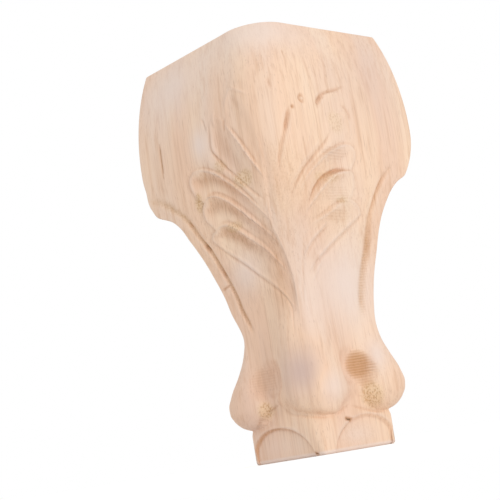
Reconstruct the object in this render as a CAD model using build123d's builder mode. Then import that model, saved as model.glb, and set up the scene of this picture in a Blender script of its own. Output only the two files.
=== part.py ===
"""Carved corner leg for furniture: one block of wood, sawn to a template on two faces and carved."""
import os
from math import sqrt

from build123d import *

# Template of the two show faces, measured from the block's back corner, in millimetres
height = 150.0         # floor to the face under the furniture
top_reach = 62.0       # back corner to show face at the top
knee_reach = 71.3      # the same at the knee, the widest place
knee_height = 112.0
ankle_reach = 53.6     # the same at the ankle and the foot pad
ankle_height = 38.0
front_round = 14.0     # rounding of the front corner from ankle to top

# Template of the wing, the edge behind each show face
ear_height = 110.0     # where the wing leaves the flat back of the block
nose_inset = 5.2       # nose of the ear, in from the back of the block
nose_height = 93.4
nose_round = 2.5
cove_inset = 13.4      # the cove under the ear
cove_height = 86.6
shank_inset = 17.4     # the back of the shank
shank_height = 74.0
ankle_inset = 19.3     # the back of the ankle and the foot pad

# Border groove along each wing
border_width = 5.2     # bead left between the wing's edge and the groove
groove_width = 2.4
groove_depth = 1.3

# Foot: a square pad under a toe and two side lobes
pad_height = 19.0
pad_bevel = 0.8
bulb_bottom = 12.0     # underside of the toe and of a lobe
bulb_profile = (       # radius and height of the turned lobe, from its underside up
    (4.0, bulb_bottom),
    (8.6, 14.2),
    (11.2, 18.4),
    (11.6, 22.0),
    (10.2, 27.4),
    (6.2, 37.0),
    (1.6, 48.0),
)
toe_setback = 5.4      # toe axis, in from both show faces of the pad
lobe_setback = 3.4     # lobe axis, in from its show face
lobe_inset = 2.2       # lobe axis, in from its back face
hollow_radius = 8.0    # thumbed hollow between toe and lobe
hollow_depth = 2.6
hollow_height = 29.5
hollow_setback = 24.0  # middle of the hollow, along its show face from the front corner
arch_width = 30.0      # arched panel sunk in each show face of the pad
arch_height = 11.6
arch_depth = 1.2

# Leaf: gouged fingers on each show face, from the midrib to the tip
root_radius = 3.0      # the gouge cut opens from root to tip
tip_radius = 6.0
root_depth = -0.3      # the cut starts just clear of the midrib
tip_depth = 1.2
fingers = (            # root and tip, each as distance from the front corner and height
    ((7.0, 95.0), (17.0, 120.0)),
    ((8.0, 87.5), (28.0, 112.5)),
    ((9.0, 80.5), (33.5, 99.5)),
    ((8.5, 72.5), (33.5, 89.5)),
    ((6.0, 62.0), (31.0, 80.0)),
)

# The two show faces look left and right of the front, at right angles
left_out = Vector(-1, -1, 0).normalized()
right_out = Vector(1, -1, 0).normalized()
up = Vector(0, 0, 1)
left_template = Plane((0, 0, 0), x_dir=left_out, z_dir=left_out.cross(up))
right_template = Plane((0, 0, 0), x_dir=right_out, z_dir=right_out.cross(up))

# A show face swings out from ankle to knee in two equal arcs, then in to the top in a third
swing_rise = knee_height - ankle_height
swing_out = knee_reach - ankle_reach
swing_radius = (swing_rise**2 + swing_out**2) / (4 * swing_out)
swing_middle = ((ankle_reach + knee_reach) / 2, (ankle_height + knee_height) / 2)
crown_rise = height - knee_height
crown_in = knee_reach - top_reach
crown_radius = (crown_rise**2 + crown_in**2) / (2 * crown_in)

# The foot's pad is square, and its lobes and hollows are placed from its faces
pad_side = ankle_reach - ankle_inset
pad_middle = (ankle_reach + ankle_inset) / 2
toe_axis = ankle_reach - toe_setback
lobe_axis = ankle_reach - lobe_setback
lobe_back = ankle_inset + lobe_inset
hollow_out = ankle_reach + hollow_radius - hollow_depth
hollow_along = ankle_reach - hollow_setback


def reach_and_slope(z):
    """Distance of a show face from the back corner at height z, and how fast it grows there."""
    if z <= ankle_height:
        return ankle_reach, 0.0
    if z <= swing_middle[1]:
        rise = z - ankle_height
        run = sqrt(swing_radius**2 - rise**2)
        return ankle_reach + swing_radius - run, rise / run
    rise = z - knee_height
    radius = swing_radius if rise < 0 else crown_radius
    run = sqrt(radius**2 - rise**2)
    return knee_reach - radius + run, -rise / run


def above_left_face(along, z, lift):
    """Point that stands lift over the left show face, at a distance along it from the front corner."""
    reach, slope = reach_and_slope(z)
    turn = max(front_round - along, 0.0)
    across = sqrt(front_round**2 - turn**2)
    normal = left_out * (across / front_round) + right_out * (turn / front_round) - up * slope
    foot = left_out * (reach - front_round + across) + right_out * (reach - along) + up * z
    return foot + normal.normalized() * lift


def wing_curve(inset):
    """The long curve of the wing, set in from its edge: three arcs from the ankle up to the nose."""
    places = (
        Vector(ankle_inset, ankle_height),
        Vector(shank_inset, shank_height),
        Vector(cove_inset, cove_height),
        Vector(nose_inset, nose_height),
    )
    lean = Vector(0, 1)
    arcs = []
    for low, high in zip(places, places[1:]):
        edge = TangentArc(low, high, tangent=lean, mode=Mode.PRIVATE)
        next_lean = edge % 1
        start = low + lean.rotate(Axis.Z, -90) * inset
        finish = high + next_lean.rotate(Axis.Z, -90) * inset
        arcs.append(TangentArc(start, finish, tangent=lean))
        lean = next_lean
    return arcs


def sawn_block(face_depth):
    """The block after the template is sawn through both ways, with the show faces set in by a depth."""
    foot_face = ankle_reach - face_depth
    middle = (swing_middle[0] - face_depth, swing_middle[1])
    knee = (knee_reach - face_depth, knee_height)
    with BuildSketch() as template:
        with BuildLine():
            Line((0, height), (0, ear_height))
            TangentArc((0, ear_height), (nose_inset, nose_height), tangent=(0, -1))
            wing_curve(0)
            Polyline(
                (ankle_inset, ankle_height),
                (ankle_inset, bulb_bottom),
                (foot_face, bulb_bottom),
                (foot_face, ankle_height),
            )
            swell = TangentArc((foot_face, ankle_height), middle, tangent=(0, 1))
            TangentArc(middle, knee, tangent=swell % 1)
            TangentArc(knee, (top_reach - face_depth, height), tangent=(0, 1))
            Line((top_reach - face_depth, height), (0, height))
        make_face()
        nose = template.vertices().sort_by_distance((nose_inset, nose_height))[0]
        fillet(nose, nose_round)
    with BuildPart() as block:
        with BuildSketch(left_template):
            add(template.sketch)
        extrude(amount=-knee_reach)
        with BuildSketch(right_template):
            add(template.sketch)
        extrude(amount=knee_reach, mode=Mode.INTERSECT)
    return block.part


def border_band():
    """Outline of the border groove, a band that follows the wing's edge at the width of its bead."""
    with BuildSketch() as outline:
        with BuildLine():
            near = wing_curve(border_width)
            far = wing_curve(border_width + groove_width)
            Line(near[0] @ 0, far[0] @ 0)
            Line(near[-1] @ 1, far[-1] @ 1)
        make_face()
    return outline.sketch


def gouge_cut(root, tip):
    """The wood that a gouge lifts out along one finger of the leaf, from the midrib to its round tip."""
    start = above_left_face(*root, root_radius - root_depth)
    finish = above_left_face(*tip, tip_radius - tip_depth)
    with BuildPart() as cut:
        with Locations(Plane(start, z_dir=finish - start)):
            Cone(root_radius, tip_radius, (finish - start).length, align=(Align.CENTER, Align.CENTER, Align.MIN))
        with Locations(finish):
            Sphere(tip_radius)
    return cut.part


def in_block(from_left, from_right, z):
    """Place in the block by its distances out along the two show faces' directions."""
    return left_out * from_left + right_out * from_right + up * z


block = sawn_block(0)

# Border grooves: the band, down to the same block sawn a little smaller
band = border_band()
groove_floor = sawn_block(groove_depth)
with BuildPart() as groove_cut:
    with BuildSketch(right_template.offset(pad_middle)):
        add(band)
    extrude(amount=knee_reach - pad_middle)
    with BuildSketch(left_template.offset(-pad_middle)):
        add(band)
    extrude(amount=pad_middle - knee_reach)
    add(groove_floor, mode=Mode.SUBTRACT)

# Pear-shaped lobe, turned about its own axis
axis_points = ((0, bulb_profile[-1][1]), (0, bulb_profile[0][1]))
with BuildPart() as lobe:
    with BuildSketch(Plane.XZ):
        with BuildLine():
            Polyline(*bulb_profile, *axis_points, close=True)
        make_face()
    revolve(axis=Axis.Z)

# Gouge cuts of the leaf, the same on both show faces
gouge_cuts = [gouge_cut(root, tip) for root, tip in fingers]
with BuildPart() as leaf_cut:
    add(gouge_cuts)
    mirror(about=Plane.YZ)

with BuildPart() as carved:
    add(block)
    middle_edges = carved.edges().filter_by(lambda edge: abs(edge.center().X) < front_round / 2)
    front_edges = middle_edges.filter_by(lambda edge: edge.center().Y < -ankle_reach)
    fillet(front_edges, front_round)
    add(groove_cut.part, mode=Mode.SUBTRACT)
    with BuildSketch():
        with Locations(in_block(pad_middle, pad_middle, 0)):
            Rectangle(pad_side, pad_side, rotation=45)
    extrude(amount=pad_height)
    chamfer(carved.faces().sort_by(Axis.Z)[0].edges(), pad_bevel)
    with Locations(
        in_block(toe_axis, toe_axis, 0),
        in_block(lobe_axis, lobe_back, 0),
        in_block(lobe_back, lobe_axis, 0),
    ):
        add(lobe.part)
    with Locations(
        in_block(hollow_out, hollow_along, hollow_height),
        in_block(hollow_along, hollow_out, hollow_height),
    ):
        Sphere(hollow_radius, mode=Mode.SUBTRACT)
    for outward, sideways in ((left_out, right_out), (right_out, left_out)):
        panel_middle = outward * ankle_reach + sideways * pad_middle
        with BuildSketch(Plane(panel_middle, x_dir=sideways, z_dir=outward)):
            Ellipse(arch_width / 2, arch_height)
        extrude(amount=-arch_depth, mode=Mode.SUBTRACT)
    add(leaf_cut.part, mode=Mode.SUBTRACT)

# The leg stands on the floor, with its middle over the origin
middle = carved.part.bounding_box().center()
with BuildPart() as leg:
    with Locations((-middle.X, -middle.Y, 0)):
        add(carved.part)

print("leg", round(leg.part.volume), "mm3", leg.part.bounding_box().size)
leg.part.label = "leg"
os.makedirs("parts", exist_ok=True)
export_step(leg.part, "parts/leg.step")
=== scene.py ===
# %% [markdown]
# # A carved corner leg
# A short leg that carries the corner of a cabinet or sofa. It is one block of rubberwood. A template is
# sawn through it from two sides, and then a leaf, two border grooves and a foot with three round lobes
# are carved by machine and sanded by hand. The wood has no finish yet.
#
# This lesson builds the skin of that block as one fine mesh. The plain CAD solid gives the size and the
# place, and everything here is worked out in millimetres in the same frame.

# %% The frame
import math
from collections import namedtuple

import bpy
import numpy as np
from mathutils import Matrix, Vector


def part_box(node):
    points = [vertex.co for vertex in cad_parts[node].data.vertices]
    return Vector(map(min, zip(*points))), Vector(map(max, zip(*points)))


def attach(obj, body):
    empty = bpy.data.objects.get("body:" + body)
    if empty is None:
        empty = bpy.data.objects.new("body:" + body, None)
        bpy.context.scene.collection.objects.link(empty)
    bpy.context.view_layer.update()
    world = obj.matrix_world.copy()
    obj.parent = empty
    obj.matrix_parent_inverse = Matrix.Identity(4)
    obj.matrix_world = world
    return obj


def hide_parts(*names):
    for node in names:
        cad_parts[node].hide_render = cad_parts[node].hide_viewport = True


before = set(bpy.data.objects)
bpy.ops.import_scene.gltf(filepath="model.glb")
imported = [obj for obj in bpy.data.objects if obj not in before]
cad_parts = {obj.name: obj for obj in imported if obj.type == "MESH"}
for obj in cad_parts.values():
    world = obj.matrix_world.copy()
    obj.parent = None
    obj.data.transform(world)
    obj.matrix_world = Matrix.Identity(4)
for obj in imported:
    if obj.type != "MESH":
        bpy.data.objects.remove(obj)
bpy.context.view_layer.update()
MM = 0.001
leg_low, leg_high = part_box("leg")
height = leg_high.z / MM
back_corner_y = leg_high.y / MM
print("leg", round(height, 1), "mm high, back corner at y", round(back_corner_y, 1), "mm")

# %% [markdown]
# ## The sawn template
# Both show faces have the same S-curve: in at the ankle, out at the knee and in again at the top. The
# distance from the back corner to a show face is called its reach. The edge behind each show face is the
# wing, which is straight at the top and then turns in under an ear. Its distance from the back of the
# block is called its inset. A curve object could be extruded and cut, but two functions of the height
# are enough, because a section of the leg is always a square from inset to reach.

# %% Reach of the show faces
def soft_step(low, high, value):
    """Rises from 0 to 1 between low and high, flat at both ends."""
    share = np.clip((value - low) / (high - low), 0.0, 1.0)
    return share * share * (3.0 - 2.0 * share)


root_two = math.sqrt(2.0)
knee_reach = (leg_high.x - leg_low.x) / MM / root_two
knee_height = 112.0
top_reach = 62.0
ankle_reach = 53.6
ankle_height = 38.0
swing_rise = knee_height - ankle_height
swing_out = knee_reach - ankle_reach
swing_radius = (swing_rise**2 + swing_out**2) / (4 * swing_out)
crown_rise = height - knee_height
crown_in = knee_reach - top_reach
crown_radius = (crown_rise**2 + crown_in**2) / (2 * crown_in)


def reach(z):
    """Distance from the back corner to a show face at each height: three arcs above a straight foot."""
    swell = np.clip(z - ankle_height, 0.0, swing_rise / 2)
    lower = ankle_reach + swing_radius - np.sqrt(swing_radius**2 - swell**2)
    fall = np.clip(knee_height - z, 0.0, swing_rise / 2)
    upper = knee_reach - swing_radius + np.sqrt(swing_radius**2 - fall**2)
    crown = knee_reach - crown_radius + np.sqrt(crown_radius**2 - np.clip(z - knee_height, 0.0, None) ** 2)
    shank = np.where(z < ankle_height + swing_rise / 2, lower, upper)
    return np.where(z > knee_height, crown, shank)


print("reach at foot, knee and top:", reach(np.array([0.0, knee_height, height])).round(1))

# %% Inset of the wings
ear_height = 110.0
nose = np.array([5.2, 93.4])
cove = np.array([13.4, 86.6])
shank_back = np.array([17.4, 74.0])
ankle_back = np.array([19.3, ankle_height])
nose_round = 2.2
arc_points = 25


def wing_line():
    """The wing's edge as inset and height, from the ankle up to the nose: three smooth arcs."""
    stops = [ankle_back, shank_back, cove, nose]
    lean = np.array([0.0, 1.0])
    points = [ankle_back]
    for low, high in zip(stops, stops[1:]):
        side = np.array([-lean[1], lean[0]])
        chord = high - low
        radius = chord @ chord / (2 * chord @ side)
        centre = low + side * radius
        for z in np.linspace(low[1], high[1], arc_points)[1:]:
            points.append(np.array([centre[0] + math.sqrt(radius**2 - (z - centre[1]) ** 2), z]))
        lean = np.array([centre[1] - high[1], high[0] - centre[0]]) / radius
    return np.array(points)


def smoothed(values, length):
    """Values at even fine steps, averaged over a length in millimetres, which rounds their corners."""
    window = 2 * int(length / fine_step / 2) + 1
    weights = np.hanning(window + 2)[1:-1]
    padded = np.pad(values, window // 2, mode="edge")
    return np.convolve(padded, weights / weights.sum(), mode="valid")


wing = wing_line()
fine_step = 0.05
fine_z = np.arange(0.0, height + fine_step, fine_step)
ear_radius = ((ear_height - nose[1]) ** 2 + nose[0] ** 2) / (2 * nose[0])
ear = ear_radius - np.sqrt(ear_radius**2 - np.clip(ear_height - fine_z, 0.0, ear_height - nose[1]) ** 2)
fine_inset = np.where(fine_z > nose[1], ear, np.interp(fine_z, wing[:, 1], wing[:, 0]))
fine_inset = smoothed(fine_inset, nose_round)
print("insets from", fine_inset.min().round(1), "to", fine_inset.max().round(1), "mm")

# %% What sanding changed
# A pair of heights says where a change begins and where it is complete. A sanded place changes a wing's
# inset: the change comes between one pair of heights and goes between another.
Sanding = namedtuple("Sanding", "wing inset comes goes")
sanded_places = [
    Sanding("left", 2.6, (24.0, 40.0), (56.0, 44.0)),
    Sanding("left", -0.6, (58.0, 70.0), (98.0, 92.0)),
    Sanding("left", -1.7, (90.5, 95.5), (105.0, 98.0)),
    Sanding("left", 0.6, (82.0, 87.0), (92.5, 89.5)),
    Sanding("right", -1.9, (28.0, 48.0), (82.0, 66.0)),
]


def hand_work(z):
    """What sanding changed in the left and in the right wing's inset: this leg is not quite even."""
    change = {"left": 0.0, "right": 0.0}
    for place in sanded_places:
        change[place.wing] += place.inset * soft_step(*place.comes, z) * soft_step(*place.goes, z)
    return change["left"], change["right"]


def insets(z):
    """Distance from the back of the block to the left and the right wing's edge at each height."""
    even = np.interp(z, fine_z, fine_inset)
    left, right = hand_work(z)
    return even + left, even + right


print("left insets at ankle, cove and top:", insets(np.array([ankle_height, cove[1], height]))[0].round(1))

# %% [markdown]
# ## The foot
# Under the ankle the square block ends in a low pad. A round toe swells from its front corner, and a
# pear-shaped lobe hangs from each wing. A ball-shaped cutter left a hollow between the toe and each lobe.
# Separate spheres joined by a boolean would leave hard seams. A field does it better: a number that is
# negative inside the wood and positive outside. Two fields blend where they are joined with a soft
# minimum, as a carver rounds the seam with a bent gouge.

# %% Soft joining of two forms
def soft_min(a, b, blend):
    """Joins two fields, with a hollow seam about as wide as blend."""
    return np.minimum(a, b) - np.maximum(blend - np.abs(a - b), 0.0) ** 2 / (4 * blend)


def soft_max(a, b, blend):
    """Cuts one field by the other, with a rounded edge about as wide as blend."""
    return -soft_min(-a, -b, blend)


print("soft minimum of two equal fields, 4 mm blend:", soft_min(0.0, 0.0, 4.0), "mm")

# %% Lobes and toe
# Profiles as height and radius, from the underside up; below a radius of nought there is no wood
lobe_profile = [(10.6, -3.0), (12.0, 4.0), (13.4, 7.2), (15.6, 9.4), (18.4, 11.1), (21.8, 11.6),
                (26.8, 10.2), (31.5, 8.1), (36.5, 6.0), (41.5, 4.2), (47.0, 2.0), (54.0, -3.0)]
toe_profile = [(12.6, -4.0), (13.8, 4.2), (15.2, 6.7), (17.4, 7.7), (20.5, 8.3), (24.5, 8.5),
               (30.0, 8.0), (37.0, 6.8), (44.0, 5.2), (52.0, 2.0)]
profile_round = 3.0
lobe_setback = 3.4
lobe_inset = 2.2
left_lobe_slimmer = 2.2
slimmer_rise = (15.0, 36.0)
toe_setback = 3.4
toe_left = 0.1
toe_tilt = 0.17
facet_turn = math.radians(22.0)
facet_share = 0.88
facet_edge = 1.2
lobe_out = ankle_reach - lobe_setback
lobe_back = ankle_back[0] + lobe_inset
toe_out = ankle_reach - toe_setback
fine_lobe, fine_toe = [smoothed(np.interp(fine_z, *zip(*profile)), profile_round)
                       for profile in (lobe_profile, toe_profile)]


def toe_field(u, v, z):
    """The round toe, a little tilted, with a flat facet on the left of its front."""
    radius = np.interp(z + toe_tilt * (v - u), fine_z, fine_toe)
    toe_u, toe_v = u - toe_out - toe_left, v - toe_out + toe_left
    facet_u, facet_v = math.cos(math.pi / 4 - facet_turn), math.sin(math.pi / 4 - facet_turn)
    facet = toe_u * facet_u + toe_v * facet_v - facet_share * radius
    return soft_max(np.hypot(toe_u, toe_v) - radius, facet, facet_edge)


print("widest lobe", fine_lobe.max().round(1), "mm, widest toe", fine_toe.max().round(1), "mm")

# %% Hollows
hollow_radius = 7.2
hollow_depth = 2.3
hollow_blend = 2.2
left_hollow_setback = 19.8
left_hollow_height = 28.4
right_hollow_setback = 19.2
right_hollow_height = 28.6
hollow_out = ankle_reach + hollow_radius - hollow_depth
left_hollow = (hollow_out, ankle_reach - left_hollow_setback, left_hollow_height)
right_hollow = (ankle_reach - right_hollow_setback, hollow_out, right_hollow_height)
print("hollows", hollow_depth, "mm deep, the left one", left_hollow_height, "mm above the floor")

# %% The block and its edges
front_round = 14.0
pad_front_round = 1.2
web_round = 7.5
wing_round = 1.3
pad_wing_round = 0.6
pad_swell = 0.5
rim_round = 0.7
foot_bevel = 0.6
pad_end = (14.0, 10.0)
web_rise = (0.0, 11.0)
front_rise = (20.0, 34.0)


def rim_inset(z):
    """How far the sanded edge at the top and the bevel at the floor turn in."""
    near_top = np.clip(1.0 - (height - z) / rim_round, 0.0, 1.0)
    return rim_round * (1.0 - np.sqrt(1.0 - near_top**2)) + np.clip(foot_bevel - z, 0.0, None)


def block_field(u, v, z):
    """The sawn block with its rounded corners, before the toe and the lobes are joined to it."""
    face = reach(z)
    left, right = insets(z)
    on_pad = soft_step(*pad_end, z)
    across, along = u - (face + right) / 2, v - (face + left) / 2
    half_u, half_v = (face - right) / 2 + pad_swell * on_pad, (face - left) / 2 + pad_swell * on_pad
    web = pad_front_round + (web_round - pad_front_round) * soft_step(*web_rise, z)
    front = web + (front_round - web) * soft_step(*front_rise, z)
    edge = wing_round + (pad_wing_round - wing_round) * on_pad
    corner = np.where((across > 0) & (along > 0), front, edge)
    over_u, over_v = np.abs(across) - half_u + corner, np.abs(along) - half_v + corner
    inside = np.minimum(np.maximum(over_u, over_v), 0.0) - corner
    return inside + np.hypot(np.maximum(over_u, 0.0), np.maximum(over_v, 0.0))


ankle_middle = (ankle_reach + ankle_back[0]) / 2
inside_ankle = block_field(ankle_middle, ankle_middle, ankle_height)
print("block at the middle of the ankle:", float(inside_ankle.round(1)), "mm")

# %% The whole leg
crease = 1.0
lobe_blend = 3.2
toe_blend = 12.0
blend_rise = (12.5, 21.0)


def leg_field(u, v, z):
    """Negative inside the wood: u and v are distances out from the back corner along the two show faces."""
    widens = soft_step(*blend_rise, z)
    field = soft_min(block_field(u, v, z), toe_field(u, v, z), crease + (toe_blend - crease) * widens)
    right_lobe = np.interp(z, fine_z, fine_lobe)
    left_lobe = right_lobe - left_lobe_slimmer * soft_step(*slimmer_rise, z)
    for lobe_u, lobe_v, radius in ((lobe_out, lobe_back, left_lobe), (lobe_back, lobe_out, right_lobe)):
        lobe = np.hypot(u - lobe_u, v - lobe_v) - radius
        field = soft_min(field, lobe, crease + (lobe_blend - crease) * widens)
    for ball_u, ball_v, ball_z in (left_hollow, right_hollow):
        ball = np.sqrt((u - ball_u) ** 2 + (v - ball_v) ** 2 + (z - ball_z) ** 2)
        field = soft_max(field, hollow_radius - ball, hollow_blend)
    return field + rim_inset(z)


print("field at the middle of the left hollow's ball:", float(leg_field(*left_hollow).round(1)), "mm")

# %% [markdown]
# ## Rings of points
# The mesh is a stack of level rings, close together where the carving is fine. On each ring the points
# stand at fixed shares of the four sides, so that the front corner and the wings stay on the same columns
# from floor to top. Each point slides along a line from the ring's middle until the field is zero, found
# by halving the gap again and again for all points at once.

# %% Levels and columns
# Runs of rings from the floor up: the height where the next run starts, and how many rings
level_runs = [(1.2, 5), (11.2, 22), (14.4, 17), (44.0, 58), (90.0, 104), (94.6, 18), (127.0, 72),
              (149.2, 17), (height, 6)]
run_start = 0.0
levels = []
for run_end, count in level_runs:
    levels.extend(np.linspace(run_start, run_end, count, endpoint=False))
    run_start = run_end
levels = np.array([*levels, height])
leaf_share = 0.60
leaf_columns = 92
wing_columns = 47
back_columns = 14
show_shares = np.concatenate([
    np.linspace(0.0, leaf_share, leaf_columns, endpoint=False),
    np.linspace(leaf_share, 1.0, wing_columns, endpoint=False),
])
back_shares = 0.5 - 0.5 * np.cos(np.linspace(0.0, math.pi, back_columns, endpoint=False))
wing_to_front = 1.0 - np.append(show_shares[1:], 1.0)[::-1]
share = np.concatenate([show_shares, back_shares, back_shares, wing_to_front])
# Around the leg: left show face, two back faces, right show face
SIDES = range(4)
LEFT_SHOW, RIGHT_SHOW = SIDES[0], SIDES[-1]
side_columns = [len(show_shares), back_columns, back_columns, len(show_shares)]
side = np.repeat(SIDES, side_columns)
show = (side == LEFT_SHOW) | (side == RIGHT_SHOW)
print("rings", len(levels), "columns", len(share))

# %% Points on the skin
halvings = 26
farthest_share = 2.0


def sharp_section(z):
    """Points on the square section before any rounding, around from the left show face to the right."""
    face = reach(z)[:, None]
    left, right = (inset[:, None] for inset in insets(z))
    level = np.ones_like(share)
    from_right, from_left = face - right, face - left
    sides = [side == which for which in SIDES]
    u_places = [face * level, face - share * from_right, right * level, right + share * from_right]
    v_places = [face - share * from_left, left * level, left + share * from_left, face * level]
    return np.select(sides, u_places), np.select(sides, v_places)


def slide_to_skin():
    """Moves every point of the sharp section onto the skin of the wood."""
    z = np.repeat(levels[:, None], len(share), axis=1)
    u, v = sharp_section(levels)
    left, right = insets(levels)
    middle_u, middle_v = (reach(levels) + right)[:, None] / 2, (reach(levels) + left)[:, None] / 2
    near, far = np.zeros_like(u), np.full_like(u, farthest_share)
    for _ in range(halvings):
        guess = (near + far) / 2
        solid = leg_field(middle_u + guess * (u - middle_u), middle_v + guess * (v - middle_v), z) < 0
        near, far = np.where(solid, guess, near), np.where(solid, far, guess)
    return middle_u + near * (u - middle_u), middle_v + near * (v - middle_v), z


skin_u, skin_v, skin_z = slide_to_skin()
print("points", skin_z.size, "triangles about", 2 * skin_z.size)

# %% [markdown]
# ## The leaf
# The leaf has a midrib on the front corner, five fingers on the left show face and four on the right. A
# finger is a shallow scoop. Along its upper edge a steep wall rises to a crest, and from there the wood
# falls to a hollow and rises again to the next finger. Left of the midrib a valley runs down to a sharp
# ridge. A displacement picture could hold this, but a few lines of control points and a rule for the
# scoop can be read and changed.
#
# Places on the leaf are given as the distance sideways from the front corner, measured along the show
# face, and as the height.

# %% Lines of the carving
left_lines = {
    "rib": [(4.6, 86.0), (5.2, 96.0), (6.1, 106.0), (9.0, 116.5), (13.2, 123.6)],
    "first": [(4.6, 88.5), (7.5, 94.5), (12.0, 100.7), (15.4, 106.1), (21.0, 114.5)],
    "second": [(4.0, 82.0), (8.2, 86.2), (15.0, 91.2), (22.5, 98.1), (28.3, 104.8), (30.8, 108.6)],
    "third": [(5.5, 78.0), (13.7, 86.1), (19.1, 91.2), (24.9, 96.0), (30.8, 100.3), (36.3, 103.0),
              (40.0, 103.8)],
    "fourth": [(4.0, 71.0), (12.2, 77.8), (21.8, 86.5), (27.3, 90.6), (32.3, 93.2), (36.0, 93.6),
               (38.4, 92.4)],
    "fifth": [(3.0, 62.0), (11.3, 69.9), (17.9, 75.2), (23.8, 79.8), (28.2, 82.4), (32.0, 83.2),
              (35.0, 82.2)],
    "sixth": [(1.6, 49.5), (10.1, 58.1), (16.9, 63.7), (23.5, 69.1), (31.5, 74.7), (36.6, 78.4)],
}
right_lines = {
    "first": [(8.0, 91.0), (14.6, 100.3), (20.4, 109.0), (24.9, 117.4)],
    "second": [(8.0, 88.0), (13.7, 94.1), (18.2, 97.7), (24.3, 102.8), (27.5, 106.0), (30.5, 109.5)],
    "third": [(8.0, 86.0), (13.0, 91.4), (18.0, 95.0), (23.0, 98.2), (28.5, 101.0), (34.0, 102.9),
              (37.6, 103.0)],
    "fourth": [(6.0, 76.0), (11.9, 82.0), (16.7, 85.6), (22.0, 89.6), (28.2, 93.0), (32.0, 94.0),
               (35.3, 94.0)],
    "fifth": [(6.0, 71.5), (10.5, 75.8), (16.7, 78.4), (22.0, 80.5), (28.9, 84.0)],
    "sixth": [(4.0, 58.0), (10.5, 64.7), (19.5, 70.5), (28.4, 75.5), (36.9, 80.0)],
}
# A finger lies on the left (-1) or the right (1), between two lines. Its tip is bent through a few points.
# Its hollow has a depth, a place where it is deepest as a share of the way down, and a darkness, which is
# painted shade and is given only to the fingers on the left, the side away from the lamp. Its crest has a
# wall and a thin lip.
Finger = namedtuple("Finger", "side upper lower tip depth deepest dark wall lip")
fingers = [
    Finger(-1, "rib", "first", [(17.0, 124.0), (21.4, 121.0)], 0.6, 0.5, 0.1, 5.0, 0.0),
    Finger(-1, "first", "second", [(24.0, 118.0), (28.0, 118.6), (30.3, 114.7)], 1.1, 0.8, 0.3, 0.7, 0.3),
    Finger(-1, "third", "fourth", [(42.5, 103.4), (44.6, 100.5), (42.5, 95.5)], 1.5, 0.42, 0.5, 0.8, 0.3),
    Finger(-1, "fourth", "fifth", [(40.2, 90.5), (39.6, 87.0), (36.8, 84.0)], 1.25, 0.42, 0.5, 0.6, 0.35),
    Finger(-1, "fifth", "sixth", [(37.4, 81.4), (38.0, 80.0)], 1.2, 0.42, 0.65, 0.6, 0.35),
    Finger(1, "first", "second", [(28.9, 121.4), (36.0, 121.0), (37.5, 114.5)], 0.9, 0.9, 0.0, 2.4, 0.0),
    Finger(1, "third", "fourth", [(39.2, 101.0), (38.4, 98.0), (36.5, 95.6)], 1.5, 0.7, 0.0, 0.8, 0.3),
    Finger(1, "fourth", "fifth", [(36.2, 92.0), (35.4, 88.5), (33.4, 85.6)], 1.2, 0.6, 0.0, 1.6, 0.2),
    Finger(1, "fifth", "sixth", [(33.4, 84.4), (36.4, 82.4)], 0.8, 0.5, 0.0, 0.9, 0.15),
]
rib_left = [(1.0, 45.0), (0.8, 52.0), (0.8, 59.0), (1.8, 65.0), (3.1, 69.5), (5.1, 74.5), (6.6, 79.0),
            (6.0, 88.0), (5.2, 97.0), (5.9, 106.0), (8.6, 116.0), (12.6, 124.0), (15.0, 132.0)]
rib_right = [(0.6, 45.0), (1.6, 55.0), (2.4, 66.0), (2.2, 73.0), (2.0, 79.0), (1.6, 88.0), (1.6, 97.0),
             (7.6, 109.6), (10.6, 115.6), (13.6, 122.0), (16.0, 132.0)]
print("fingers", len(fingers), "lines", len(left_lines) + len(right_lines))

# %% Distances to a line
curve_steps = 8
tiny = 1e-9


def curve(points):
    """A smooth line through given points, each stretch bent by its neighbours."""
    stops = np.array([points[0], *points, points[-1]], dtype=float)
    t = np.linspace(0.0, 1.0, curve_steps, endpoint=False)[:, None]
    runs = []
    for a, b, c, d in zip(stops, stops[1:], stops[2:], stops[3:]):
        runs.append(b + 0.5 * t * (c - a + t * (2 * a - 5 * b + 4 * c - d + t * (3 * b - a - 3 * c + d))))
    return np.vstack([*runs, stops[-1:]])


def distance_to(line, x, z):
    """Distance from each place to the nearest point of a line."""
    nearest = np.full(x.shape, np.inf)
    for (ax, az), (bx, bz) in zip(line, line[1:]):
        dx, dz = bx - ax, bz - az
        t = np.clip(((x - ax) * dx + (z - az) * dz) / (dx * dx + dz * dz + tiny), 0.0, 1.0)
        nearest = np.minimum(nearest, (x - ax - t * dx) ** 2 + (z - az - t * dz) ** 2)
    return np.sqrt(nearest)


def inside_of(outline, x, z):
    """True for the places inside a closed outline."""
    within = np.zeros(x.shape, dtype=bool)
    for (ax, az), (bx, bz) in zip(outline, np.roll(outline, -1, axis=0)):
        crosses = (az > z) != (bz > z)
        within ^= crosses & (x < ax + (z - az) * (bx - ax) / (bz - az + tiny))
    return within


def depth_inside(outline, x, z):
    """Distance to a closed outline, positive inside and negative outside."""
    gap = distance_to(np.vstack([outline, outline[:1]]), x, z)
    return np.where(inside_of(outline, x, z), gap, -gap)


print("points on a line of five bends:", len(curve(left_lines["rib"])))

# %% One finger
# A fade is a pair of distances: where it begins and where it is complete
lower_lift = 0.4
root_fades = {-1: (2.0, 15.0), 1: (4.0, 17.0)}
lower_root_fade = (0.0, 12.0)
narrow_fade = (0.5, 6.0)
tip_fade = (0.0, 5.0)
lip_root_fade = (0.0, 4.0)
lip_width = 0.45
rim_height = 0.12
# Where the painted shade lies in a hollow, as a share of the place where it is deepest, how far it spreads,
# and how it fades in from the root
dark_place = 0.75
dark_spread = 0.26
dark_root_fade = (4.0, 30.0)
stop_cut_offset = 0.8
stop_cut_width = 0.45
stop_cut_root_fade = (6.0, 16.0)


def flip(points, sign):
    """Given points on one show face as signed places across the front."""
    return [(sign * across, z) for across, z in points]


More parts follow.
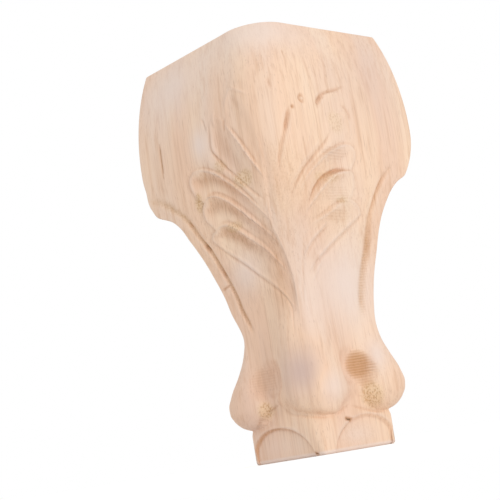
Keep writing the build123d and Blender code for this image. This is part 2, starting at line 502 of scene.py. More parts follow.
def bell(distance, width):
    """One in the middle of a mark, falling softly to nought on both sides."""
    return np.exp(-((distance / width) ** 2))


def finger_scoop(finger, x, z):
    """Depth inside a finger's outline, height of its face, painted shade in its hollow, and its stop cut."""
    lines = left_lines if finger.side < 0 else right_lines
    upper = curve(flip(lines[finger.upper], finger.side))
    lower = curve(flip(lines[finger.lower], finger.side))
    end = curve([upper[-1], *flip(finger.tip, finger.side), lower[-1]])
    within = depth_inside(np.vstack([upper, end[1:-1], lower[::-1]]), x, z)
    from_crest, from_lower = distance_to(upper, x, z), distance_to(lower, x, z)
    width = from_crest + from_lower + tiny
    down = from_crest / width
    fall = 1.0 - np.clip(1.0 - down / finger.deepest, 0.0, 1.0) ** 2
    fall = fall * (1.0 - lower_lift * soft_step(finger.deepest, 1.0, down))
    from_root = np.hypot(x - upper[0, 0], z - upper[0, 1])
    from_lower_root = np.hypot(x - lower[0, 0], z - lower[0, 1])
    from_end = distance_to(end, x, z)
    tip_in = soft_step(*tip_fade, from_end)
    reach_in = soft_step(*root_fades[finger.side], from_root) * soft_step(*narrow_fade, width) * tip_in
    reach_in = reach_in * soft_step(*lower_root_fade, from_lower_root)
    edge_in = soft_step(*lip_root_fade, from_root) * tip_in
    lip = finger.lip * bell(from_crest, lip_width) * edge_in
    lip = lip + rim_height * bell(from_end, lip_width) * (finger.lip > 0)
    # Painted shade in the hollow, strongest just below the crest, where the hollow faces away from the lamp
    hollow_shade = finger.dark * bell(down - dark_place * finger.deepest, dark_spread)
    hollow_shade = hollow_shade * soft_step(*dark_root_fade, from_root)
    stop_cut = bell(from_crest - stop_cut_offset, stop_cut_width) * tip_in
    stop_cut = stop_cut * (within < 0) * (finger.lip > 0) * soft_step(*stop_cut_root_fade, from_root)
    return within, lip - finger.depth * fall * reach_in, hollow_shade * reach_in, stop_cut


print("deepest finger:", max(finger.depth for finger in fingers), "mm")

# %% All the fingers
ground_low = 0.55
ground_top = 0.25
ground_rise = (100.0, 116.0)
ground_fade = 3.0
ground_from_rib = (3.0, 16.0)
wall_outside = 0.7
wall_inside = 0.3
stop_cut_depth = 0.3
stop_cut_dark = 0.3


def fingers_height(x, z, within_rib):
    """Height of the ground between the fingers and of the fingers on it, and the painted shade in the
    hollows.
    """
    scoops = [finger_scoop(finger, x, z) for finger in fingers]
    outside = np.max([scoop[0] for scoop in scoops], axis=0)
    ground_depth = ground_low + (ground_top - ground_low) * soft_step(*ground_rise, z)
    relief = -ground_depth * bell(np.minimum(outside, 0.0), ground_fade)
    relief = relief * soft_step(*ground_from_rib, -within_rib)
    dark = np.zeros_like(relief)
    for finger, (within, face, hollow_shade, stop_cut) in zip(fingers, scoops):
        covers = soft_step(-wall_outside * finger.wall, wall_inside * finger.wall, within)
        relief = relief + (face - relief) * covers - stop_cut_depth * stop_cut
        dark = np.maximum(dark + (hollow_shade - dark) * covers, stop_cut_dark * stop_cut)
    return relief, dark


print("ground lies", ground_low, "mm deep, and", ground_top, "mm at the top")

# %% Midrib and valley
rib_crown = 0.6
crown_width = 5.0
crown_comes = (70.0, 84.0)
crown_goes = (112.0, 98.0)
valley_depth = 1.3
valley_width = 4.6
valley_shade = 0.4
valley_comes = (43.0, 57.0)
valley_goes = (88.0, 72.0)
rib_blur_rise = (76.0, 92.0)
rib_outside = 1.0
rib_inside = 0.4
blur_outside = 2.6
blur_inside = 0.6
leaf_bottom = 43.0
leaf_top = 132.0


def leaf_height(x, z):
    """Height of the leaf above the plain skin, and the painted shade in its hollows and its valley."""
    left_edge, right_edge = curve(flip(rib_left, -1)), curve(rib_right)
    within_rib = depth_inside(np.vstack([left_edge, right_edge[::-1]]), x, z)
    relief, dark = fingers_height(x, z, within_rib)
    from_left = distance_to(left_edge, x, z)
    valley = from_left / valley_width * np.exp(1.0 - from_left / valley_width)
    valley = valley * (x < np.interp(z, left_edge[:, 1], left_edge[:, 0]))
    valley = valley * soft_step(*valley_comes, z) * soft_step(*valley_goes, z)
    relief = relief - valley_depth * valley
    # The valley faces away from the lamp, so its slope gets painted shade
    dark = np.maximum(dark, valley_shade * valley)
    crown = -rib_crown * (1.0 - np.clip(from_left / crown_width, 0.0, 1.0)) ** 2
    crown = crown * soft_step(*crown_comes, z) * soft_step(*crown_goes, z)
    blurs = soft_step(*rib_blur_rise, z)
    covers = soft_step(-rib_outside - blur_outside * blurs, rib_inside + blur_inside * blurs, within_rib)
    return relief + (crown - relief) * covers, dark * (1.0 - covers)


skin_x = skin_v - skin_u
carved = np.ix_((levels > leaf_bottom) & (levels < leaf_top), show)
relief = np.zeros_like(skin_z)
stain_and_shade = np.zeros_like(skin_z)
relief[carved], stain_and_shade[carved] = leaf_height(skin_x[carved], skin_z[carved])
print("leaf from", relief.min().round(2), "to", relief.max().round(2), "mm")

# %% [markdown]
# ## Border grooves, arches and tool marks
# A round groove follows each wing and leaves a bead along its edge. The pad has a sunk arch on each show
# face. Besides these, the tools left a few small pits, stop cuts, lips and splits, and they make the leg
# look like a real one. They could be cut by booleans with many small tools, which often tear a mesh. Here
# the skin is only lowered or raised along a line, by a depth and a width, and one function serves for all
# the small marks.

# %% Cuts along lines
run_out_share = 0.3
least_run_out = 0.35
# Small cuts: points of the line, half width, depth (a lip has less than none), and stain, which in a few
# cuts is painted shade
small_cuts = [
    # Right of the midrib and near its top: a long stop cut, a ring, a pit, a hook and a dent
    ([(10.3, 114.4), (8.8, 111.0), (7.0, 107.4)], 0.9, 0.8, 0.5),
    ([(10.1, 114.2), (6.9, 107.3), (2.5, 99.4), (0.9, 94.6)], 0.8, 0.6, 0.3),
    ([(18.5, 118.6), (17.2, 119.8), (15.9, 118.6), (17.2, 117.4), (18.5, 118.6)], 0.55, 0.6, 0.6),
    ([(12.1, 115.2), (12.5, 115.4)], 0.6, 0.7, 1.0),
    ([(24.4, 116.6), (25.4, 118.6), (28.0, 120.8)], 0.9, 0.9, 0.45),
    ([(24.4, 117.1), (25.4, 118.8), (28.8, 121.5), (34.8, 123.3), (38.4, 124.8)], 0.55, 0.7, 0.5),
    ([(2.8, 125.4), (3.2, 123.2)], 0.9, 0.5, 0.3),
    # Right half of the leaf, from its top finger down
    # The stain of this cut outside the top right fingertip is painted shade
    ([(36.2, 117.4), (38.3, 116.1), (39.4, 114.0), (39.0, 111.6)], 0.7, 0.4, 0.35),
    ([(33.6, 114.2), (36.8, 114.2), (38.0, 111.0), (37.0, 107.0)], 0.7, -0.3, 0.0),
    ([(3.4, 87.6), (12.0, 95.8), (18.6, 100.6), (25.0, 105.8)], 0.7, -0.35, 0.0),
    ([(4.6, 86.4), (13.3, 94.6), (19.8, 99.2), (26.2, 104.4), (29.5, 108.5)], 0.5, 0.6, 0.5),
    # The crescent along the fourth line on the right: a real cut, darkened further by painted shade
    ([(12.7, 84.1), (17.3, 88.4), (23.3, 92.1), (29.3, 94.1), (35.0, 94.4)], 0.6, 0.9, 0.85),
    ([(9.5, 80.2), (14.2, 83.8), (19.6, 87.8), (24.0, 90.6)], 0.5, -0.3, 0.0),
    ([(26.0, 83.2), (29.6, 84.8)], 0.5, 0.4, 0.5),
    ([(5.0, 66.3), (10.7, 72.0), (20.3, 77.4)], 0.55, -0.55, 0.0),
    ([(6.0, 65.2), (11.6, 70.9), (21.2, 76.2)], 0.5, 0.3, 0.18),
    ([(7.0, 61.5), (10.5, 64.7), (19.5, 70.5), (28.4, 75.5), (36.9, 80.0)], 0.55, -0.55, 0.0),
    ([(8.2, 60.7), (11.5, 63.6), (20.4, 69.4), (29.2, 74.4), (37.0, 78.8)], 0.5, 0.3, 0.12),
    ([(11.0, 64.6), (12.4, 66.2)], 0.8, 0.3, 0.35),
    ([(7.4, 57.4), (11.6, 62.6), (16.4, 66.8)], 0.6, -0.35, 0.0),
    ([(6.4, 71.0), (5.2, 66.5), (3.8, 60.8), (1.6, 51.2)], 0.6, 0.3, 0.15),
    # Left half of the leaf, from its top finger down
    ([(-20.4, 119.0), (-18.8, 123.3), (-16.0, 126.0), (-12.7, 124.6), (-7.9, 121.7)], 0.6, -0.4, 0.0),
    # The stain of this cut at the top left fingertip is painted shade
    ([(-15.7, 122.8), (-15.3, 120.7), (-15.0, 118.6)], 1.0, 0.4, 0.3),
    ([(-21.0, 114.5), (-15.4, 106.1), (-12.0, 100.7), (-7.5, 94.5)], 0.45, -0.3, 0.0),
    ([(-22.4, 112.5), (-21.4, 117.0)], 0.4, 0.4, 0.45),
    ([(-27.2, 115.0), (-26.4, 121.4)], 0.45, -0.4, 0.0),
    ([(-31.0, 115.0), (-31.8, 119.0)], 0.4, -0.35, 0.0),
    ([(-32.9, 120.6), (-31.9, 118.1), (-31.5, 115.7)], 0.4, 0.4, 0.35),
    ([(-29.4, 117.4), (-30.4, 113.0), (-30.7, 109.5), (-29.6, 106.4), (-26.0, 102.0), (-22.5, 98.1)],
     0.5, 0.6, 0.5),
    ([(-25.0, 100.9), (-15.0, 91.2), (-8.2, 86.2)], 0.45, 0.4, 0.35),
    ([(-1.6, 49.5), (-10.1, 58.1), (-16.9, 63.7), (-23.5, 69.1), (-31.5, 74.7), (-37.0, 78.6)],
     0.5, -0.35, 0.0),
    ([(-5.2, 40.6), (-4.7, 46.0), (-5.0, 51.5), (-10.7, 57.3), (-17.5, 62.8), (-24.1, 68.2), (-32.0, 73.8),
      (-37.4, 77.8)], 0.5, 0.35, 0.3),
    # Chips in the left groove
    ([(-48.9, 88.2), (-47.6, 86.0)], 0.55, 0.6, 0.9),
    ([(-42.8, 79.2), (-40.3, 76.2)], 0.65, 0.7, 1.0),
    ([(-36.8, 70.2), (-35.2, 66.8)], 0.55, 0.5, 0.8),
    ([(-37.7, 63.0), (-33.7, 63.9)], 0.4, 0.5, 0.7),
    # Seams under the lobes and the toe
    ([(-32.2, 12.6), (-26.6, 15.9), (-22.6, 17.7), (-18.4, 19.6)], 0.5, 0.4, 0.35),
    ([(-18.8, 19.6), (-13.9, 15.7), (-9.2, 14.3), (-2.1, 13.1), (5.0, 12.3)], 0.5, 0.3, 0.2),
    ([(8.5, 12.6), (11.1, 13.9), (14.7, 15.4)], 0.5, 0.3, 0.25),
    ([(14.7, 15.4), (22.9, 13.2), (28.8, 11.9), (34.0, 12.4)], 0.5, 0.3, 0.3),
    # Splits in the plain wood, and pits in the pad
    ([(11.8, 137.2), (11.9, 134.8)], 0.25, 0.3, 0.8),
    ([(-57.7, 119.0), (-58.2, 106.0)], 0.4, 0.4, 0.9),
    ([(12.7, 10.9), (15.2, 10.3)], 0.62, 0.8, 1.5),
    ([(-5.6, 1.2), (-3.4, 0.6)], 0.45, 0.5, 1.1),
]


def cut_strength(points, x, z, half_width):
    """How fully each place lies in a rounded cut along a line, which runs out at both ends."""
    line = curve(points)
    length = np.linalg.norm(np.diff(line, axis=0), axis=1).sum()
    to_start = np.hypot(x - line[0, 0], z - line[0, 1])
    to_ends = np.minimum(to_start, np.hypot(x - line[-1, 0], z - line[-1, 1]))
    run_out = np.clip(least_run_out + to_ends / (run_out_share * length), 0.0, 1.0)
    return bell(distance_to(line, x, z), half_width * run_out) * run_out


face_x, face_z = skin_x[:, show], skin_z[:, show]
for line, half_width, depth, dark in small_cuts:
    strength = cut_strength(line, face_x, face_z, half_width)
    relief[:, show] -= depth * strength
    stain_and_shade[:, show] = np.maximum(stain_and_shade[:, show], dark * strength)
print("small cuts", len(small_cuts), "deepest relief", relief.min().round(2), "mm")

# %% Border grooves
groove_start = 44.0
groove_offset = 6.4
groove_depth = 1.2
groove_half_width = 0.8
inner_share = 1.3
edge_clearance = 2.0
groove_comes = (43.0, 52.0)
left_goes = (104.0, 95.0)
right_goes = (99.0, 90.0)
left_shallower = 0.2
ear_rise = (80.0, 90.0)
ear_wider = 0.35
ear_shallower = 0.35
right_low_rise = (84.0, 70.0)
right_low_wider = 0.8
groove_shift = 0.9
shift_length = 9.0
shift_left_right = (87.0, 70.0)

on_left = (side == LEFT_SHOW)[show]
face_along = np.where(on_left, skin_v[:, show], skin_u[:, show])
from_even = face_along - np.where(on_left, *hand_work(face_z))
from_wing = distance_to(wing[wing[:, 1] > groove_start], from_even, face_z)
shift_height = np.where(on_left, *shift_left_right)
from_groove = from_wing - groove_offset + groove_shift * bell(face_z - shift_height, shift_length)
by_ear = on_left * soft_step(*ear_rise, face_z)
wider = np.where(on_left, ear_wider * by_ear, right_low_wider * soft_step(*right_low_rise, face_z))
groove_width = (groove_half_width + wider) * np.where(from_groove > 0, inner_share, 1.0)
goes = np.where(on_left, soft_step(*left_goes, face_z), soft_step(*right_goes, face_z))
on_face = from_even > np.interp(face_z, fine_z, fine_inset) + edge_clearance
groove = bell(from_groove, groove_width) * on_face * soft_step(*groove_comes, face_z) * goes
relief[:, show] -= groove_depth * groove * (1.0 - left_shallower * on_left - ear_shallower * by_ear)
print("groove points:", int((groove > 0.5).sum()))

# %% Burnt and torn places in the grooves
left_burnt = 0.45
ear_less_burnt = 0.2
right_burnt = 0.1
right_more_burnt = 0.4
burnt_height = 72.0
burnt_length = 8.0
left_chatter = 0.2
right_chatter = 0.4
right_chatter_rise = (78.0, 70.0)
torn_left_right = (0.5, 0.3)

right_burns = right_burnt + right_more_burnt * bell(face_z - burnt_height, burnt_length)
groove_burnt = groove * np.where(on_left, left_burnt - ear_less_burnt * by_ear, right_burns)
stain_and_shade[:, show] = np.maximum(stain_and_shade[:, show], groove_burnt)
right_ripples = right_chatter * soft_step(*right_chatter_rise, face_z)
groove_chatter = groove * np.where(on_left, left_chatter, right_ripples)
groove_torn = groove * np.where(on_left, *torn_left_right)
print("burnt points:", int((groove_burnt > 0.3).sum()))

# %% Arches of the pad
arch_half_width = 15.0
arch_rise = 11.4
arch_depth = 1.2
arch_edge = 0.5
lean_left_right = (0.2, 0.16)
setback_left_right = (19.8, 20.1)
wing_half = (8.0, -8.0)
# The dark line's place and width are shares of the arch
line_place = 0.985
line_width = 0.02
line_wider = 0.025
dark_left_right = (0.5, 0.12)
darker_left_right = (0.4, 0.1)

middle = ankle_reach - np.where(on_left, *setback_left_right)
from_arch = face_along + np.where(on_left, *lean_left_right) * face_z - middle
arch = np.hypot(from_arch / arch_half_width, face_z / arch_rise)
edge_share = arch_edge / arch_rise
relief[:, show] -= arch_depth * soft_step(1.0 + edge_share, 1.0 - edge_share, arch)
to_wing = soft_step(*wing_half, from_arch)
arch_line = bell(arch - line_place, line_width + line_wider * to_wing)
line_dark = np.where(on_left, *dark_left_right) + np.where(on_left, *darker_left_right) * to_wing
stain_and_shade[:, show] = np.maximum(stain_and_shade[:, show], line_dark * arch_line)
print("arch points:", int((arch < 1.0).sum()))

# %% [markdown]
# ## From points to a mesh
# The carving moves each point along the skin's normal, which comes from its neighbours on the rings. The
# mesh then gets a colour attribute with what the tools left behind and with painted light: red for stain in
# the cuts and for painted shade in the hollows, the crevices and the valley, green for the chatter of the
# cutter, blue for torn fibres, and alpha for sanding and painted highlights, which makes the wood paler
# above one half and greyer below. A painted picture could hold these marks too, but it needs an unwrapped
# mesh, and an attribute lies on the points themselves. The material reads it later.

# %% Carved points
def normals(points):
    """Outward direction of the skin at each point of the stack of rings."""
    around = np.roll(points, -1, axis=1) - np.roll(points, 1, axis=1)
    upward = np.gradient(points, axis=0)
    normal = np.cross(upward, around)
    return normal / np.linalg.norm(normal, axis=2, keepdims=True)


def block_point(u, v, z):
    """Places in the leg's frame, in millimetres, from distances along the two show faces."""
    return np.stack([(v - u) / root_two, back_corner_y - (u + v) / root_two, z], axis=2)


skin = block_point(skin_u, skin_v, skin_z)
outward = normals(skin)
# Near the top and the floor the carving moves points level, so that both end faces stay flat
level_ends = (1.0, 4.0)
outward[:, :, 2] *= soft_step(*level_ends, np.minimum(skin_z, height - skin_z))
outward /= np.linalg.norm(outward, axis=2, keepdims=True)
points = skin + outward * relief[:, :, None]
facing = (outward[:, :, :2] * (skin[:, :, :2] - skin[:, :, :2].mean(axis=1, keepdims=True))).sum(axis=2)
print("points that face out:", int((facing > 0).sum()), "of", facing.size)

# %% Marks of the tools and painted highlights
# Patches: across the front, height, half width, half height, strength
chatter_patches = [
    (23.0, 28.6, 6.4, 5.0, 1.0),
    (-24.4, 28.8, 6.6, 4.8, 0.22),
    (25.4, 23.6, 4.6, 4.0, 0.42),
    (29.0, 100.0, 6.0, 2.6, 0.3),
    (27.0, 86.5, 6.0, 3.0, 0.22),
    (26.0, 79.4, 6.0, 2.4, 0.25),
    (-41.4, 93.0, 2.2, 3.4, 0.3),
]
torn_patches = [
    (-17.5, 95.0, 5.0, 3.0, 0.9),
    (-28.0, 101.8, 3.0, 2.4, 0.6),
    (-41.4, 93.0, 2.2, 3.4, 0.9),
    (-26.3, 81.2, 4.0, 1.8, 0.8),
    (23.5, 91.8, 7.0, 2.2, 0.5),
    (28.8, 84.6, 2.8, 1.6, 0.7),
    (27.2, 17.5, 5.5, 4.6, 1.0),
    (-25.5, 18.0, 4.0, 3.0, 1.0),
    (32.0, 111.0, 3.4, 4.2, 0.5),
    (18.0, 5.0, 10.0, 5.0, 0.2),
    (3.0, 92.0, 12.0, 12.0, 0.22),
    (22.0, 84.0, 12.0, 14.0, 0.18),
]
# Sanding made these paler, or greyer where the strength is below nought; the one on the lower right of the
# toe is a painted highlight, and the broad one on the right of the shank is painted light
sanding_and_highlight_patches = [
    (29.0, 100.0, 6.0, 2.6, 0.3),
    (27.0, 86.5, 6.0, 3.0, 0.3),
    (18.0, 5.0, 10.0, 5.0, 0.7),
    (-18.0, 5.0, 12.0, 6.0, 0.35),
    (-4.8, 28.6, 10.0, 8.0, -0.95),
    # A painted highlight on the lower right of the toe
    (9.0, 22.0, 7.0, 6.0, 0.8),
    (4.0, 51.0, 7.0, 12.0, 0.3),
    (-48.0, 138.0, 18.0, 12.0, 0.8),
    (0.0, 146.0, 28.0, 9.0, 0.8),
    (50.0, 130.0, 18.0, 20.0, -0.3),
    (-36.0, 112.0, 4.5, 6.0, 0.9),
    (-24.0, 66.0, 8.0, 7.0, 0.8),
    # Painted light on the right of the shank
    (24.0, 57.0, 15.0, 15.0, 1.0),
    (33.0, 31.0, 5.0, 6.0, 0.9),
    (-34.0, 21.0, 7.0, 10.0, -0.3),
]
firm_edge = 3
soft_edge = 1
foot_edge = (1.5, 0.9)
stain_torn = 0.3


def patch_marks(patches, firmness):
    """How strongly each patch marks each point; a firm patch has a clear edge, and a soft one fades."""
    marks = []
    for across, level, half_width, half_height, strength in patches:
        spread = ((skin_x - across) / half_width) ** 2 + ((skin_z - level) / half_height) ** 2
        marks.append(strength * np.exp(-(spread**firmness)) * show)
    return marks


chatter = np.max(patch_marks(chatter_patches, firm_edge), axis=0)
fibres = np.max(patch_marks(torn_patches, firm_edge), axis=0)
sanding_and_highlight = np.sum(patch_marks(sanding_and_highlight_patches, soft_edge), axis=0)
# A pale band along the bottom edge: partly sanded end grain, partly painted light from the floor
sanding_and_highlight = sanding_and_highlight + soft_step(*foot_edge, skin_z)
chatter[:, show] = np.maximum(chatter[:, show], groove_chatter)
fibres[:, show] = np.maximum(fibres[:, show], groove_torn)
fibres = np.maximum(fibres, stain_torn * np.clip(stain_and_shade, 0.0, 1.0))
print("rippled points:", int((chatter > 0.3).sum()), "torn points:", int((fibres > 0.3).sum()))

# %% Crevices with painted shade, crests with painted highlight
blur_passes = 12
least_change = 0.05
full_crevice = 0.5
full_crest = 0.3
crevice_shade = 0.5
crest_highlight = 0.25


def blurred(values, passes):
    """Values averaged with their neighbours on the rings, a few times over."""
    for _ in range(passes):
        values = (np.roll(values, 1, axis=1) + 2 * values + np.roll(values, -1, axis=1)) / 4
        padded = np.pad(values, ((1, 1), (0, 0)), mode="edge")
        values = (padded[:-2] + 2 * padded[1:-1] + padded[2:]) / 4
    return values


# Places below the mean of their neighbours get painted shade, and places above it a painted highlight
below_mean = blurred(relief, blur_passes) - relief
crevice = np.clip((below_mean - least_change) / full_crevice, 0.0, 1.0)
crest = np.clip((-below_mean - least_change) / full_crest, 0.0, 1.0)
stain_and_shade = np.clip(np.maximum(stain_and_shade, crevice_shade * crevice), 0.0, 1.0)
sanding_and_highlight = np.clip(sanding_and_highlight + crest_highlight * crest, -1.0, 1.0)
print("stained points:", int((stain_and_shade > 0.3).sum()), "pale crests:", int((crest > 0.3).sum()))

# %% The carved leg
rings, columns = skin_z.shape
index = np.arange(rings * columns).reshape(rings, columns)
beside = np.roll(index, -1, axis=1)
walls = np.stack([index[:-1], index[1:], beside[1:], beside[:-1]], axis=2).reshape(-1, 4)
caps = [index[0].tolist(), index[-1, ::-1].tolist()]
leg_mesh = bpy.data.meshes.new("carved_leg")
leg_mesh.from_pydata((points.reshape(-1, 3) * MM).tolist(), [], walls.tolist() + caps)
leg_mesh.polygons.foreach_set("use_smooth", [True] * len(walls) + [False, False])
marks = leg_mesh.color_attributes.new("tool_marks_and_painted_light", "FLOAT_COLOR", "POINT")
marks.data.foreach_set("color", np.stack([stain_and_shade, chatter, fibres, 0.5 + sanding_and_highlight / 2], axis=2).ravel())
leg_mesh.validate()
leg_mesh.update()
carved_leg = bpy.data.objects.new("carved_leg", leg_mesh)
bpy.context.scene.collection.objects.link(carved_leg)
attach(carved_leg, "root")
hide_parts("leg")
print("carved leg:", len(leg_mesh.vertices), "points,", len(leg_mesh.polygons), "faces")

# %% [markdown]
# ## Rubberwood, carved and sanded
# Rubberwood is a pale hardwood, cream to peach, with fine straight grain and open pores that show as short
# dark dashes along the grain. Sanding leaves it matt. A picture of wood would stretch on the curves and show
# no end grain. The grain runs up the leg, so each of its patterns is a noise stretched along the height, and
# most are deeper than they are wide, as growth layers are. On the top and under the foot the same noise is
# cut across, which gives end grain without more work. Freshly cut hollows are a little rougher; the colour
# attribute darkens them with painted shade and makes the crests paler with painted highlights.

# %% Helpers for the material
def linear(hex_colour):
    """An sRGB hex colour as the linear values that Blender's nodes use."""
    values = [int(hex_colour[i:i + 2], 16) / 255 for i in (1, 3, 5)]
    return [v / 12.92 if v <= 0.04045 else ((v + 0.055) / 1.055) ** 2.4 for v in values] + [1.0]


def add(tree, kind, inputs=None, **settings):
    """Adds a node with its settings, and sets or links its inputs."""
    new = tree.nodes.new(kind)
    for name, value in settings.items():
        setattr(new, name, value)
    for name, value in (inputs or {}).items():
        if isinstance(value, bpy.types.NodeSocket):
            tree.links.new(value, new.inputs[name])
        else:
            new.inputs[name].default_value = value
    return new


print("peach in linear light:", [round(v, 3) for v in linear("#EBCDB6")[:3]])

# %% Grain and pores
wood = bpy.data.materials.new("rubberwood_carved_and_sanded")
wood.use_nodes = True
tree = wood.node_tree
tree.nodes.clear()
place = add(tree, "ShaderNodeTexCoord").outputs["Object"]


def grain(width_mm, depth_mm, length_mm, detail, roughness=0.5, shift=0.0):
    """A noise of cells so wide and deep across the grain and so long along it; shift keeps two apart."""
    scale = (1 / (width_mm * MM), 1 / (depth_mm * MM), 1 / (length_mm * MM))
    stretch = {"Vector": place, "Scale": scale, "Location": (shift, shift, shift)}
    stretched = add(tree, "ShaderNodeMapping", stretch).outputs[0]
    settings = {"Vector": stretched, "Scale": 1.0, "Detail": detail, "Roughness": roughness}
    return add(tree, "ShaderNodeTexNoise", settings).outputs[0]


# Real pores are about 0.2 mm wide, too fine to show, so they and the fine lines are drawn twice as wide
bands = grain(16.0, 16.0, 160.0, 2.0, shift=3.1)
clouds = grain(12.0, 24.0, 90.0, 2.0, shift=7.7)
streaks = grain(1.2, 4.0, 70.0, 3.0, 0.6, shift=1.3)
lines = grain(0.42, 1.4, 30.0, 2.0, 0.5, shift=5.9)
pores = grain(0.42, 0.42, 6.0, 0.0, shift=9.2)
print("pattern nodes:", len(tree.nodes))

# %% Marks read from the mesh
chatter_spacing_mm = 0.95
fibre_size_mm = 0.5
marks_read = add(tree, "ShaderNodeVertexColor", layer_name="tool_marks_and_painted_light")
# Red holds stain in the cuts and painted shade, and alpha holds sanding and painted highlights
split_marks = add(tree, "ShaderNodeSeparateColor", {"Color": marks_read.outputs["Color"]})
stained_and_shaded, chattered, torn = split_marks.outputs
sanded_and_highlighted = marks_read.outputs["Alpha"]
dark_lines = add(tree, "ShaderNodeMapRange", {"Value": lines, "From Min": 0.45, "From Max": 0.7}).outputs[0]
# Grain lines darken where there is stain and where there is painted shade
cut_grain = add(tree, "ShaderNodeMath", {0: dark_lines, 1: stained_and_shaded}, operation="MULTIPLY").outputs[0]
# The wave node repeats every pi / 10, so this scale gives one ripple for each spacing
ripple_scale = (0.0, 0.0, math.pi / 10 / (chatter_spacing_mm * MM))
ripple_place = add(tree, "ShaderNodeMapping", {"Vector": place, "Scale": ripple_scale})
ripple = add(tree, "ShaderNodeTexWave", {"Vector": ripple_place.outputs[0], "Scale": 1.0, "Distortion": 0.0},
             bands_direction="Z").outputs["Fac"]
rippled = add(tree, "ShaderNodeMath", {0: ripple, 1: chattered}, operation="MULTIPLY").outputs[0]
# Real fibres are too fine to show, so they are drawn this coarse
tufts = grain(fibre_size_mm, fibre_size_mm, 1.5 * fibre_size_mm, 0.0, shift=2.4)
spots = add(tree, "ShaderNodeMapRange", {"Value": tufts, "From Min": 0.52, "From Max": 0.64}).outputs[0]
torn_fibres = add(tree, "ShaderNodeMath", {0: spots, 1: torn}, operation="MULTIPLY").outputs[0]
print("marks read:", len(tree.nodes), "nodes")

# %% Colour of the wood
# A layer lays its colour over the ones before it: not at all where its pattern is at start, and by its
# amount where the pattern is at full
Layer = namedtuple("Layer", "pattern start full amount colour")
layers = [
    Layer(bands, 0.36, 0.64, 1.0, "#EFCCB2"),
    Layer(clouds, 0.5, 0.74, 0.5, "#E8D4C8"),
    Layer(streaks, 0.5, 0.74, 0.55, "#DAB08E"),
    Layer(lines, 0.5, 0.72, 0.34, "#CFA688"),
    Layer(pores, 0.70, 0.78, 0.2, "#A87F62"),
    # Paler above one half and greyer below: sanding, and painted highlights on the crests, the toe, the
    # shank and the bottom edge
    Layer(sanded_and_highlighted, 0.5, 1.0, 0.85, "#EEDCD2"),
    Layer(sanded_and_highlighted, 0.5, 0.0, 0.85, "#CDB4AC"),
    # Stain in the cuts, together with painted shade in the left hollows, the valley and the crevices
    Layer(stained_and_shaded, 0.05, 1.0, 0.75, "#C0865E"),
    Layer(cut_grain, 0.0, 0.6, 0.28, "#A06A45"),
    Layer(stained_and_shaded, 0.88, 1.0, 0.8, "#5A3D28"),
    Layer(chattered, 0.1, 1.0, 0.68, "#CA996A"),
    Layer(rippled, 0.0, 1.0, 0.5, "#B98654"),
    Layer(torn, 0.0, 1.0, 0.3, "#E6C892"),
    Layer(torn_fibres, 0.0, 1.0, 0.4, "#B9853F"),
]
# The mix node has sockets for several kinds of value; these are the ones for colours
FACTOR, FIRST, SECOND, MIXED = 0, 6, 7, 2
colour = linear("#F6D9BE")
for layer in layers:
    cover = add(tree, "ShaderNodeMapRange", {
        "Value": layer.pattern, "From Min": layer.start, "From Max": layer.full, "To Max": layer.amount})
    mixed = add(tree, "ShaderNodeMix", {
        FACTOR: cover.outputs[0], FIRST: colour, SECOND: linear(layer.colour)}, data_type="RGBA")
    colour = mixed.outputs[MIXED]
print("colour layers:", len(layers))

# %% Surface of the wood
grain_height = add(tree, "ShaderNodeMath", {0: lines, 1: pores}, operation="SUBTRACT").outputs[0]
fine = add(tree, "ShaderNodeBump", {"Height": grain_height, "Strength": 0.35, "Distance": 0.06 * MM})
worked = add(tree, "ShaderNodeMath", {0: rippled, 1: torn_fibres}, operation="ADD").outputs[0]
rough = add(tree, "ShaderNodeBump", {"Height": worked, "Strength": 0.6, "Distance": 0.25 * MM,
                                     "Normal": fine.outputs[0]})
matt = add(tree, "ShaderNodeMapRange", {
    "Value": streaks, "From Min": 0.3, "From Max": 0.7, "To Min": 0.56, "To Max": 0.7})
shader = add(tree, "ShaderNodeBsdfPrincipled", {
    "Base Color": colour, "Roughness": matt.outputs[0], "IOR": 1.5, "Specular IOR Level": 0.35,
    "Normal": rough.outputs[0]})
add(tree, "ShaderNodeOutputMaterial", {"Surface": shader.outputs[0]})
leg_mesh.materials.append(wood)
print("wood:", len(tree.nodes), "nodes")

# %% [markdown]
# ## Floor and light
# The leg stands on a white floor in front of a white room. What the camera sees of the room is plain
# white, by the Light Path node, and what lights the leg is softer. In the same way the floor glows a
# little where it is seen, which keeps it pale but leaves the leg its shadow. Most of the light comes
# from the room on all sides, and one soft lamp stands low at the right in front, so that the left side is
# a little darker.

# %% Floor
def seen_directly(tree):
    """One for rays from the camera, a mirror or glass, and nought for the rays that light the leg."""
    path = add(tree, "ShaderNodeLightPath").outputs
    with_mirrors = {0: path["Is Camera Ray"], 1: path["Is Glossy Ray"]}
    seen = add(tree, "ShaderNodeMath", with_mirrors, operation="MAXIMUM").outputs[0]
    with_glass = {0: seen, 1: path["Is Transmission Ray"]}
    return add(tree, "ShaderNodeMath", with_glass, operation="MAXIMUM").outputs[0]


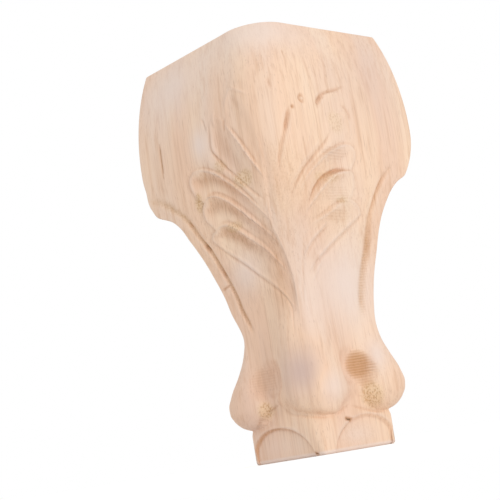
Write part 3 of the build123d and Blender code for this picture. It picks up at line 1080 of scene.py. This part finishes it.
floor_size = 4.0
floor_glow = 0.34
floor_mesh = bpy.data.meshes.new("floor")
half = floor_size / 2
corners = [(-half, -half, 0.0), (half, -half, 0.0), (half, half, 0.0), (-half, half, 0.0)]
floor_mesh.from_pydata(corners, [], [(0, 1, 2, 3)])
floor = bpy.data.objects.new("floor", floor_mesh)
bpy.context.scene.collection.objects.link(floor)
paper = bpy.data.materials.new("white_paper_matt")
paper.use_nodes = True
tree = paper.node_tree
tree.nodes.clear()
matt_white = add(tree, "ShaderNodeBsdfDiffuse", {"Color": linear("#F2F2F2")})
lift = add(tree, "ShaderNodeMath", {0: seen_directly(tree), 1: floor_glow}, operation="MULTIPLY")
glow = add(tree, "ShaderNodeEmission", {"Color": linear("#FFFFFF"), "Strength": lift.outputs[0]})
both = add(tree, "ShaderNodeAddShader", {0: matt_white.outputs[0], 1: glow.outputs[0]})
add(tree, "ShaderNodeOutputMaterial", {"Surface": both.outputs[0]})
floor_mesh.materials.append(paper)
print("floor", floor_size, "m, glow", floor_glow)

# %% Room
room_light = 0.82
world = bpy.data.worlds.new("white_room")
bpy.context.scene.world = world
world.use_nodes = True
tree = world.node_tree
tree.nodes.clear()
strength = add(tree, "ShaderNodeMapRange", {"Value": seen_directly(tree), "To Min": room_light})
room = add(tree, "ShaderNodeBackground", {"Color": linear("#FFFFFF"), "Strength": strength.outputs[0]})
add(tree, "ShaderNodeOutputWorld", {"Surface": room.outputs[0]})
print("room light", room_light)

# %% Lamp
leg_middle = Vector((0.0, 0.0, height / 2 * MM))
lamp_place = Vector((0.55, -0.93, 0.12))
lamp_data = bpy.data.lights.new("key_lamp", "AREA")
lamp_data.size = 0.25
lamp_data.energy = 3.0
lamp_data.color = linear("#FFFAF5")[:3]
key_lamp = bpy.data.objects.new("key_lamp", lamp_data)
key_lamp.location = lamp_place
key_lamp.rotation_euler = (leg_middle - lamp_place).to_track_quat("-Z", "Y").to_euler()
bpy.context.scene.collection.objects.link(key_lamp)
print("lamp", lamp_data.energy, "W, at", [round(v, 2) for v in lamp_place])

# %% [markdown]
# ## Camera
# The camera looks a little up at the front corner from about half a metre, tilted as the photograph is.
# Its place, its three angles and its lens were matched to the outline of the leg. It stays just above
# the floor.

# %% Camera
azimuth = math.radians(2.32)
elevation = math.radians(-9.63)
roll = math.radians(-9.33)
picture_px = 500
focal_px = 1228.0
sensor_mm = 36.0
eye_right = 2.9
eye_distance = 489.9
eye_height = 2.0
eye = Vector((eye_right, back_corner_y - eye_distance, eye_height)) * MM
backward = Vector((math.sin(azimuth) * math.cos(elevation), -math.cos(azimuth) * math.cos(elevation),
                   math.sin(elevation)))
level_right = Vector((0.0, 0.0, 1.0)).cross(backward).normalized()
level_up = backward.cross(level_right)
right_axis = level_right * math.cos(roll) + level_up * math.sin(roll)
up_axis = level_up * math.cos(roll) - level_right * math.sin(roll)
camera_data = bpy.data.cameras.new("camera")
camera_data.sensor_width = sensor_mm
camera_data.lens = focal_px / picture_px * sensor_mm
camera = bpy.data.objects.new("camera", camera_data)
turn = Matrix((right_axis, up_axis, backward)).transposed().to_4x4()
camera.matrix_world = Matrix.Translation(eye) @ turn
bpy.context.scene.collection.objects.link(camera)
bpy.context.scene.camera = camera
bpy.context.scene.view_settings.view_transform = "Standard"
print("lens", round(camera_data.lens, 1), "mm, eye", [round(v, 3) for v in eye])
